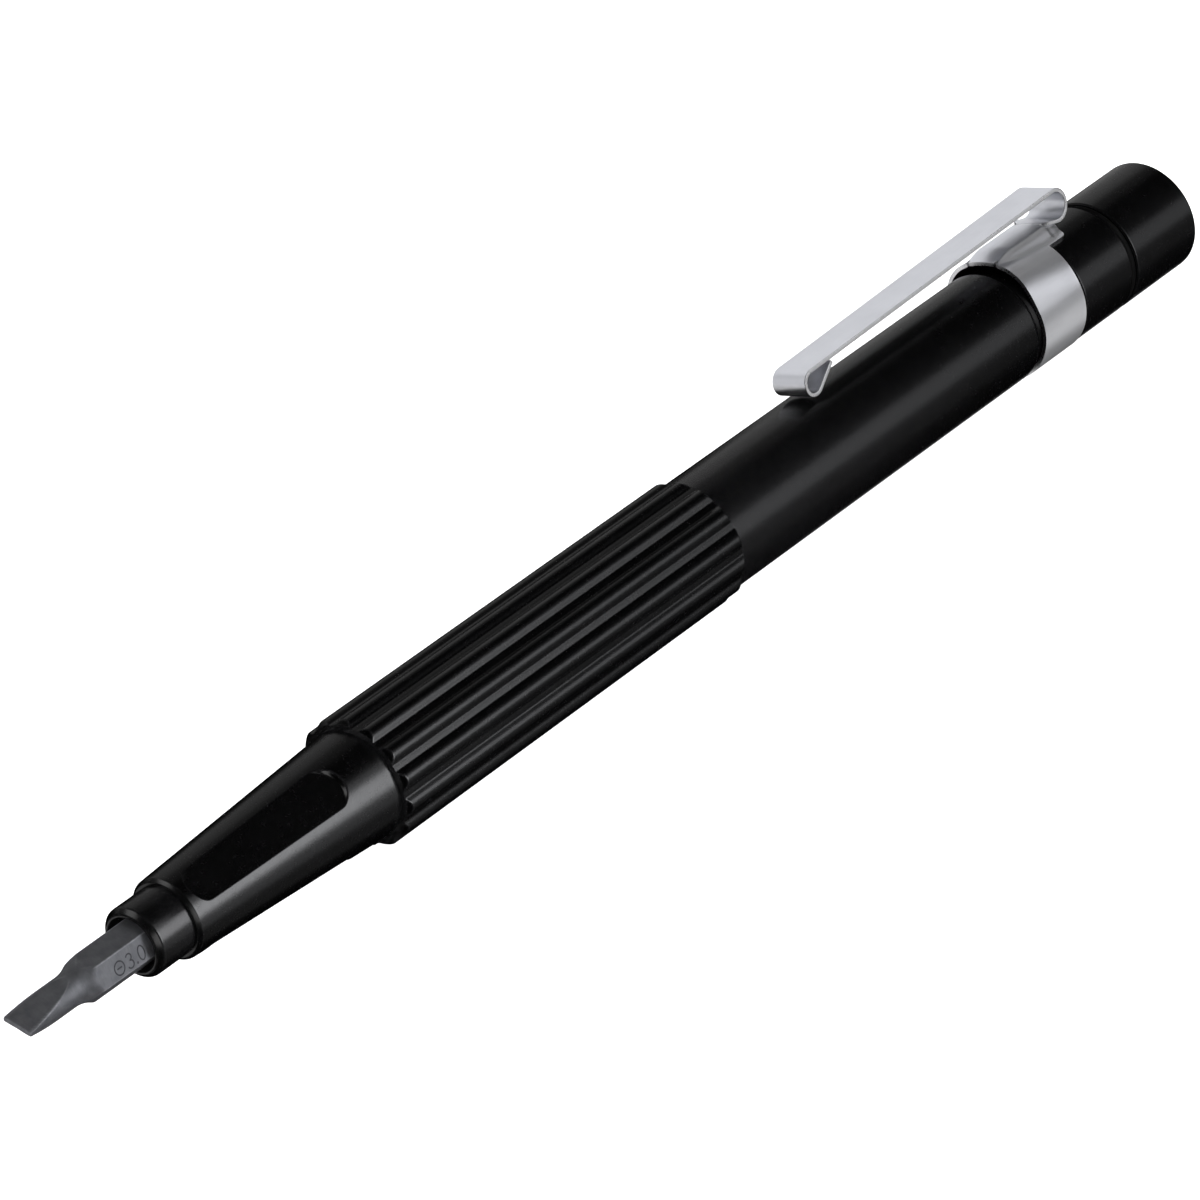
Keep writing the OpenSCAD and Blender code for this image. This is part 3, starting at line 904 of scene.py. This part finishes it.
def make_barrel():
    """Turned tube: spigot for the grip, plain barrel, the clip's seat, and the bores inside."""
    shoulder_edge = 0.04
    seat_bevel_len = 0.5
    seat_bevel = 0.25
    seat_lip = 0.06
    core_r = 0.01
    rim_r = BARREL_R - RIM_BEVEL
    thread_bore_r = THREAD_R + THREAD_FIT
    nose_bore_r = NOSE_SPIGOT_R + THREAD_FIT
    nose_bore_room = 1
    nose_bore_end = GRIP_FRONT + NOSE_SPIGOT_LEN + nose_bore_room
    corners = [(GRIP_FRONT, nose_bore_r, 0),
               (GRIP_FRONT, SPIGOT_R, 0),
               (GRIP_REAR, SPIGOT_R, 0),
               (GRIP_REAR, BARREL_R, shoulder_edge),
               (SEAT_FRONT - seat_bevel_len, BARREL_R, seat_bevel),
               (SEAT_FRONT, BARREL_R - seat_bevel, seat_lip),
               (SEAT_FRONT, SEAT_R, FINE_EDGE),
               (SEAT_REAR, SEAT_R, FINE_EDGE),
               (SEAT_REAR, rim_r, FINE_EDGE),
               (SEAT_REAR + RIM_BEVEL, BARREL_R, RIM_ROUND),
               (BARREL_REAR - RIM_BEVEL, BARREL_R, RIM_ROUND),
               (BARREL_REAR, rim_r, FINE_EDGE),
               (BARREL_REAR, thread_bore_r, FINE_EDGE),
               (STORE_REAR, thread_bore_r, 0),
               (STORE_REAR, STORE_BORE_R, 0),
               (STORE_FRONT, STORE_BORE_R, 0),
               (STORE_FRONT, core_r, 0),
               (nose_bore_end, core_r, 0),
               (nose_bore_end, nose_bore_r, 0)]
    dress(lathe("barrel_tube", corners, True), "handle", "black_aluminium", ANODISED, "barrel")


def make_seal():
    """Rubber ring that stays just below the barrel's surface and just clear of the cap."""
    inner_round = 0.1
    outer_round = 0.42
    outer = BARREL_R - 0.08
    inner = THREAD_R + 0.25
    rear = CAP_FRONT - SEAT_FIT
    corners = [(BARREL_REAR, inner, inner_round), (rear, inner, inner_round),
               (rear, outer, outer_round), (BARREL_REAR, outer, outer_round)]
    dress(lathe("seal_ring", corners, True), "seal", "seal_rubber", SEAL_RUBBER, "cap_seal")


def make_cap():
    """Cap with its spigot, in whose end the cushion's pocket is."""
    spigot_bevel = 0.25
    root_edge = 0.08
    start = CAP_FRONT - THREAD_LEN
    root_r = THREAD_R - THREAD_DEPTH
    pocket = start + POCKET_DEPTH
    pocket_r = CUSHION_R + SEAT_FIT
    corners = [(pocket, 0, 0),
               (pocket, pocket_r, FINE_EDGE),
               (start, pocket_r, RIM_ROUND),
               (start, root_r - spigot_bevel, FINE_EDGE),
               (start + spigot_bevel, root_r, FINE_EDGE),
               (CAP_FRONT, root_r, root_edge),
               (CAP_FRONT, BARREL_R - RIM_BEVEL, FINE_EDGE),
               (CAP_FRONT + RIM_BEVEL, BARREL_R, RIM_ROUND),
               (TOOL_LEN - CAP_BEVEL, BARREL_R, CAP_BEVEL),
               (TOOL_LEN, BARREL_R - CAP_BEVEL, CAP_BEVEL),
               (TOOL_LEN, 0, 0)]
    cap = lathe("screw_cap", corners, False)
    dress(cap, "cap", "black_aluminium", ANODISED, "end_cap")


def make_cap_thread():
    """Right-hand screw thread on the cap's spigot, running out at both ends."""
    steps = 72
    front_room = 0.5
    both_rooms = 1.3
    run_out_turn = 0.6
    crest_half = 0.06
    root_half = 0.33
    foot_half = 0.3
    foot_depth = 0.1
    sunk = 0.03
    start = CAP_FRONT - THREAD_LEN + front_room
    turns = int((THREAD_LEN - both_rooms) / THREAD_PITCH)
    root_r = THREAD_R - THREAD_DEPTH - sunk
    foot_r = root_r - foot_depth
    count = steps * turns
    rings = []
    for i in range(count + 1):
        theta = TURN * i / steps
        s = start + THREAD_PITCH * i / steps
        crest_r = part_way(root_r, THREAD_R, smooth_step(min(i, count - i), 0, steps * run_out_turn))
        profile = [(-root_half, root_r), (-crest_half, crest_r), (crest_half, crest_r), (root_half, root_r),
                   (foot_half, foot_r), (-foot_half, foot_r)]
        rings.append([at(s + d, -r * math.cos(theta), r * math.sin(theta)) for d, r in profile])
    dress(skin("cap_thread", rings), "cap", "black_aluminium", ANODISED)


# Clip


def sheet_metal(columns, dropped=()):
    """Thin sheet over columns of points on the outer face, without the faces that are dropped."""
    bm = bmesh.new()
    rows = [[bm.verts.new(p) for p in column] for column in columns]
    for i, (one, two) in enumerate(zip(rows, rows[1:])):
        for j in range(min(len(one), len(two)) - 1):
            if (i, j) not in dropped:
                bm.faces.new((one[j], two[j], two[j + 1], one[j + 1]))
    loose = [v for v in bm.verts if not v.link_faces]
    bmesh.ops.delete(bm, geom=loose, context="VERTS")
    return bm


def thicken(bm):
    """Closes a sheet of the clip to a solid of its thickness, below the face that looks outwards."""
    outward = rolled(0, 0, 1, CLIP_ROLL) - at(0, 0, 0)
    bmesh.ops.recalc_face_normals(bm, faces=bm.faces)
    bm.faces.ensure_lookup_table()
    bm.normal_update()
    probe = max(bm.faces, key=lambda f: f.calc_center_median().dot(outward))
    if probe.normal.dot(outward) < 0:
        bmesh.ops.reverse_faces(bm, faces=bm.faces)
        bm.normal_update()
    upper = list(bm.faces)
    lower_of = {}
    for v in list(bm.verts):
        lower_of[v] = bm.verts.new(v.co - v.normal * CLIP_T * MM * v.calc_shell_factor())
    rim = [e for e in bm.edges if len(e.link_faces) == 1]
    for face in upper:
        bm.faces.new([lower_of[v] for v in reversed(face.verts)])
    for edge in rim:
        a, b = edge.verts
        loop = edge.link_loops[0]
        if loop.vert is not a:
            a, b = b, a
        bm.faces.new((b, a, lower_of[a], lower_of[b]))
    return bm


def ease_edges(piece, width):
    """Rounds the cut edges of a sheet."""
    ease = piece.modifiers.new("eased_edges", "BEVEL")
    ease.width = width * MM
    ease.segments = 3
    ease.limit_method = "ANGLE"
    ease.angle_limit = math.radians(50)
    ease.use_clamp_overlap = True
    return flat_normals(piece)


def arch_reach(theta, s):
    """Radius of the band's outer face: round, but lifted off the barrel below the arm."""
    share = clamp((s - BAND_FRONT) / (BAND_REAR - BAND_FRONT))
    lift = part_way(LIFT_FRONT, LIFT_REAR, share) * (1 - smooth_step(abs(theta), LIFT_FULL, LIFT_START))
    dip = DIP_DEPTH * (1 - share) * (1 - smooth_step(abs(theta), DIP_FULL, DIP_START))
    return BAND_R + lift - dip


def tongue_top(s):
    """Height of the strip's upper face from the rib back to the fold."""
    bend_start = TONGUE_START + 0.4
    fold_h = FOLD_H - FOLD_R + CLIP_T
    return part_way(RIB_H, fold_h, smooth_step(s, bend_start, FOLD_S))


def rib_top(s):
    """Height of the rib along its middle; behind the band it lies just inside the tongue."""
    rise_start = BAND_FRONT - 0.6
    rise_end = BAND_FRONT + 2.8
    sink_start = TONGUE_START - 0.1
    sink_end = TONGUE_START + 0.3
    sink = 0.16
    front = part_way(RIB_FRONT_H, RIB_H, smooth_step(s, rise_start, rise_end))
    below = sink * smooth_step(s, sink_start, sink_end)
    return front + tongue_top(s) - RIB_H - below


def rib_up(across, s):
    """Height of the band's outer face near the rib, off the clip's middle by some distance."""
    theta = math.asin(across / (BAND_R + LIFT_REAR))
    base = math.sqrt(arch_reach(theta, s) ** 2 - across ** 2)
    crown = rib_top(s) - across ** 2 / (2 * RIB_CROWN_R)
    flank = rib_top(s) + RIB_SHOULDER - (abs(across) - RIB_HALF) * RIB_SLOPE
    return soft_max(soft_min(crown, flank, RIB_TOP_EDGE), base, RIB_FOOT_EDGE)


def band_column(across, rows):
    return [rolled(s, across, rib_up(across, s), CLIP_ROLL) for s in rows]


def round_column(theta, rows):
    column = []
    for s in rows:
        r = arch_reach(theta, s)
        column.append(rolled(s, r * math.sin(theta), r * math.cos(theta), CLIP_ROLL))
    return column


def wing_rows(across):
    """Stations behind the band, down to the wing's end with its rounded corner."""
    inside = max(WING_CORNER - (WING_HALF - abs(across)), 0)
    cut = WING_CORNER - math.sqrt(WING_CORNER ** 2 - inside ** 2)
    return spread_to(BAND_REAR, BAND_REAR + WING_LEN - cut, 14)[1:]


def make_clip_band():
    """Band with its raised rib, whose flanks run on as wings behind the band."""
    notch_rows = 4
    notch_end = BAND_FRONT + NOTCH_DEPTH
    rib_zone_half = 3.6
    side_start = math.radians(39)
    seam = math.pi - SEAM_W / 2 / BAND_R
    eased = 0.09
    rows = spread(BAND_FRONT, notch_end, notch_rows) + spread_to(notch_end, BAND_REAR, 24)
    places = spread_to(-rib_zone_half, rib_zone_half, 96)
    sides = spread_to(seam, side_start, 60)
    columns = [round_column(-a, rows) for a in sides]
    for across in places:
        behind = wing_rows(across) if abs(across) < WING_HALF else []
        columns.append(band_column(across, rows + behind))
    columns += [round_column(a, rows) for a in reversed(sides)]
    notch = [i + len(sides) for i, across in enumerate(places) if NOTCH_INNER < abs(across) < NOTCH_OUTER]
    dropped = {(i, j) for i in notch for j in range(notch_rows)}
    piece = to_object("clip_band", thicken(sheet_metal(columns, dropped)))
    dress(ease_edges(piece, eased), "clip", "clip_steel", NICKEL, "pocket_clip")


def arm_path():
    """Outer line of the strip: the tongue, and then the fold, arm, roll and leaf."""
    run = FOLD_S - ROLL_S
    drop = FOLD_H - ROLL_H
    length = math.sqrt(run ** 2 + drop ** 2 - (FOLD_R - ROLL_R) ** 2)
    slope = math.atan2(drop, run) + math.atan2(FOLD_R - ROLL_R, length)
    fold = Vector((FOLD_S, FOLD_H))
    roll = Vector((ROLL_S, ROLL_H))
    quarter = math.pi / 2

    def on(centre, radius, angle):
        return centre + radius * Vector((math.cos(angle), math.sin(angle)))

    tongue = [Vector((s, tongue_top(s) - CLIP_T)) for s in spread(TONGUE_START, FOLD_S, 24)]
    bend = [on(fold, FOLD_R, a) for a in spread(-quarter, quarter + slope, 40)]
    top = on(fold, FOLD_R, quarter + slope)
    front = on(roll, ROLL_R, quarter + slope)
    arm = [top.lerp(front, k) for k in spread(0, 1, 40)]
    leaf = slope + quarter - 2 * math.atan2(LEAF_RUN, ROLL_R - CLIP_T)
    curl = [on(roll, ROLL_R, a) for a in spread(quarter + slope, leaf + TURN, 60)]
    leaf_start = on(roll, ROLL_R, leaf)
    ahead = Vector((-math.sin(leaf), math.cos(leaf)))
    tail = [leaf_start + ahead * k for k in spread_to(0, LEAF_RUN - LEAF_GAP, 10)]
    return tongue, bend + arm + curl + tail


def make_clip_arm():
    """Tongue, fold, spring arm and roll: one strip that narrows towards the roll."""
    half_steps = 9
    flare_start = TONGUE_START + 0.1
    flare_end = TONGUE_START + 0.6
    eased = 0.1
    tongue, rest = arm_path()
    columns = []
    for i, p in enumerate(tongue + rest):
        share = clamp((p.x - ROLL_S) / (FOLD_S - ROLL_S))
        half = part_way(ARM_FRONT_HALF, ARM_REAR_HALF, share)
        if i < len(tongue):
            half = part_way(TONGUE_HALF, half, smooth_step(p.x, flare_start, flare_end))
        places = [half * k / half_steps for k in range(-half_steps, half_steps + 1)]
        columns.append([rolled(p.x, a, p.y, CLIP_ROLL) for a in places])
    piece = to_object("clip_arm", thicken(sheet_metal(columns)))
    dress(ease_edges(piece, eased), "clip", "clip_steel", NICKEL)


# CAD nodes inside the tool that keep their shape


def finish_inside():
    finishes = {"bit_magnet": MAGNET_PLATE, "cap_cushion": CUSHION_RUBBER, "bit_cartridge": PLASTIC,
                "spare_slot_bit": BIT_STEEL, "spare_cross_bit_small": BIT_STEEL,
                "spare_cross_bit_large": BIT_STEEL}
    for name, finish in finishes.items():
        mesh = frame["nodes"][name].data
        mesh.materials.clear()
        mesh.materials.append(finish)


# Studio, in metres


def floor_finish():
    """Even white that glows by itself, so that the floor shows no edge and no shade."""
    made = bpy.data.materials.new("pale_floor")
    made.use_nodes = True
    shader = made.node_tree.nodes["Principled BSDF"]
    shader.inputs["Base Color"].default_value = (0.8, 0.8, 0.8, 1)
    shader.inputs["Roughness"].default_value = 1
    shader.inputs["Specular IOR Level"].default_value = 0
    shader.inputs["Emission Color"].default_value = (1, 1, 1, 1)
    shader.inputs["Emission Strength"].default_value = 1
    return made


def make_floor():
    """Pale floor that rises to a wall all round; it is left out of the tool's reflections."""
    angles = spread(0, TURN, 96)
    radius_and_height = [(0.001, 0), (1.2, 0), (2.4, 0), (2.8, 0.06), (3.1, 0.3), (3.2, 0.9), (3.2, 4)]
    bm = bmesh.new()
    rings = [[(r * math.cos(a), r * math.sin(a), z) for a in angles] for r, z in radius_and_height]
    rows = join_rings(bm, rings, False)
    bm.faces.new(list(reversed(rows[0])))
    mesh = bpy.data.meshes.new("floor")
    bm.to_mesh(mesh)
    bm.free()
    mesh.shade_smooth()
    mesh.materials.append(floor_finish())
    floor = add_object("floor", mesh)
    floor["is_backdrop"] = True
    floor.visible_glossy = False
    floor.visible_shadow = False


def panel(name, around, half, x_from, x_to, radiance, lit, tint=(1.0, 1.0, 1.0)):
    """Soft light panel along the tool that lights the pieces of one collection.

    Seen along the axis, its middle is around degrees from straight up, towards the camera's side, and
    it covers half degrees to each side of that. It runs from x_from to x_to in the frame.
    """
    reach = 0.4
    watts_for_radiance = 4
    width = 2 * reach * math.tan(math.radians(half))
    turn = math.radians(around)
    outward = Vector((0, -math.sin(turn), math.cos(turn)))
    data = bpy.data.lights.new(name, "AREA")
    data.shape = "RECTANGLE"
    data.size = x_to - x_from
    data.size_y = width
    data.energy = watts_for_radiance * radiance * (x_to - x_from) * width
    data.color = tint
    light = add_object(name, data)
    along = Vector((1, 0, 0))
    axes = Matrix((along, outward.cross(along), outward)).transposed()
    middle = Vector(((x_from + x_to) / 2, 0, AXIS_Z)) + outward * reach
    light.matrix_world = Matrix.Translation(middle) @ axes.to_4x4()
    light.visible_camera = False
    light.light_linking.receiver_collection = lit


def make_studio_light():
    """Softboxes round the tool; the clip has its own, and its band and the front pieces have more."""
    front_pieces = ("driver_bit_steel", "bit_size_mark", "collar", "nose_taper")
    cool = (0.96, 0.97, 1.0)
    world = bpy.data.worlds.new("studio")
    bpy.context.scene.world = world
    world.use_nodes = True
    world.node_tree.nodes["Background"].inputs["Color"].default_value = (0, 0, 0, 1)
    tool = bpy.data.collections.new("lit_tool")
    ends = bpy.data.collections.new("lit_ends")
    clip = bpy.data.collections.new("lit_clip")
    band = bpy.data.collections.new("lit_band")
    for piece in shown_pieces():
        (clip if body_of(piece) == ["clip"] else tool).objects.link(piece)
        if piece.name == "clip_band":
            band.objects.link(piece)
        if piece.name in front_pieces:
            ends.objects.link(piece)
    panel("tool_front_key", 69, 17, 0.03, 0.244, 5.4, tool, cool)
    panel("tool_front_key_high", 43, 8, 0.03, 0.244, 0.9, tool, cool)
    panel("tool_front_key_low", 101, 14, 0.03, 0.244, 0.55, tool, cool)
    panel("tool_front", 69, 17, 0.244, 0.65, 0.5, tool, cool)
    panel("tool_front_low", 108, 20, 0.244, 0.65, 0.05, tool)
    panel("tool_front_below", 135, 18, 0.03, 0.3, 0.08, tool)
    panel("tool_back_front", -68, 21, -0.2, 0.27, 0.21, tool)
    panel("tool_back", -66, 21, 0.27, 0.6, 0.27, tool)
    panel("tool_back_far", -103, 14, 0.4, 0.7, 0.32, tool)
    panel("tool_back_high", -33, 12, -0.2, 0.6, 0.08, tool)
    panel("tool_rim", -142, 16, 0.4, 0.8, 0.4, tool)
    panel("tool_ends", -138, 22, -0.55, -0.2, 0.5, ends)
    panel("tool_bevels", 78, 20, -0.65, -0.3, 1.7, ends)
    panel("tool_bevels_back", -43, 16, -0.5, -0.22, 1.5, ends)
    panel("clip_back", -80, 25, -0.6, 0.8, 0.68, clip, cool)
    panel("clip_back_low", -112, 8, -0.6, 0.8, 0.7, clip, cool)
    panel("clip_back_high", -42, 12, -0.1, 0.8, 0.9, clip, cool)
    panel("clip_top", -3, 26, -0.1, 0.7, 0.24, clip)
    panel("clip_front", 58, 11, 0.0, 0.7, 1.15, clip, cool)
    panel("clip_front_low", 82, 13, 0.0, 0.7, 0.26, clip)
    panel("clip_low", 122, 25, 0.0, 0.7, 0.56, clip)
    panel("clip_below", 170, 28, 0.0, 0.7, 0.14, clip)
    panel("clip_ends", -138, 25, -0.6, -0.2, 0.6, clip)
    panel("clip_bevels", 70, 25, -0.6, -0.15, 0.6, clip)
    panel("band_back", -80, 25, -0.1, 0.8, 0.45, band, cool)
    panel("band_high", -36, 10, 0.1, 0.8, 0.4, band, cool)
    panel("band_top", -3, 26, 0.1, 0.7, 0.12, band)
    panel("band_fill", 35, 12, 0.1, 0.7, 0.15, band)


def make_camera():
    """Camera solved from the photograph's perspective: it looks at a point near the tool's middle."""
    azimuth = math.radians(52.173)
    elevation = math.radians(33.797)
    distance = 0.62293
    aim = Vector((-0.00362, 0.00086, AXIS_Z))
    data = bpy.data.cameras.new("camera")
    data.sensor_width = 36
    data.lens = 207.39
    data.clip_start = 0.05
    data.clip_end = 50
    camera = add_object("camera", data)
    level = math.cos(elevation)
    back = Vector((-math.sin(azimuth) * level, -math.cos(azimuth) * level, math.sin(elevation)))
    right = Vector((math.cos(azimuth), -math.sin(azimuth), 0))
    axes = Matrix((right, back.cross(right), back)).transposed()
    camera.matrix_world = Matrix.Translation(aim + back * distance) @ axes.to_4x4()
    bpy.context.scene.camera = camera


def main():
    bpy.context.scene.view_settings.view_transform = "Standard"
    make_camera()
    make_bit()
    make_mark()
    make_collar()
    make_nose()
    make_grip()
    make_barrel()
    make_clip_band()
    make_clip_arm()
    make_seal()
    make_cap()
    make_cap_thread()
    finish_inside()
    make_floor()
    make_studio_light()


main()
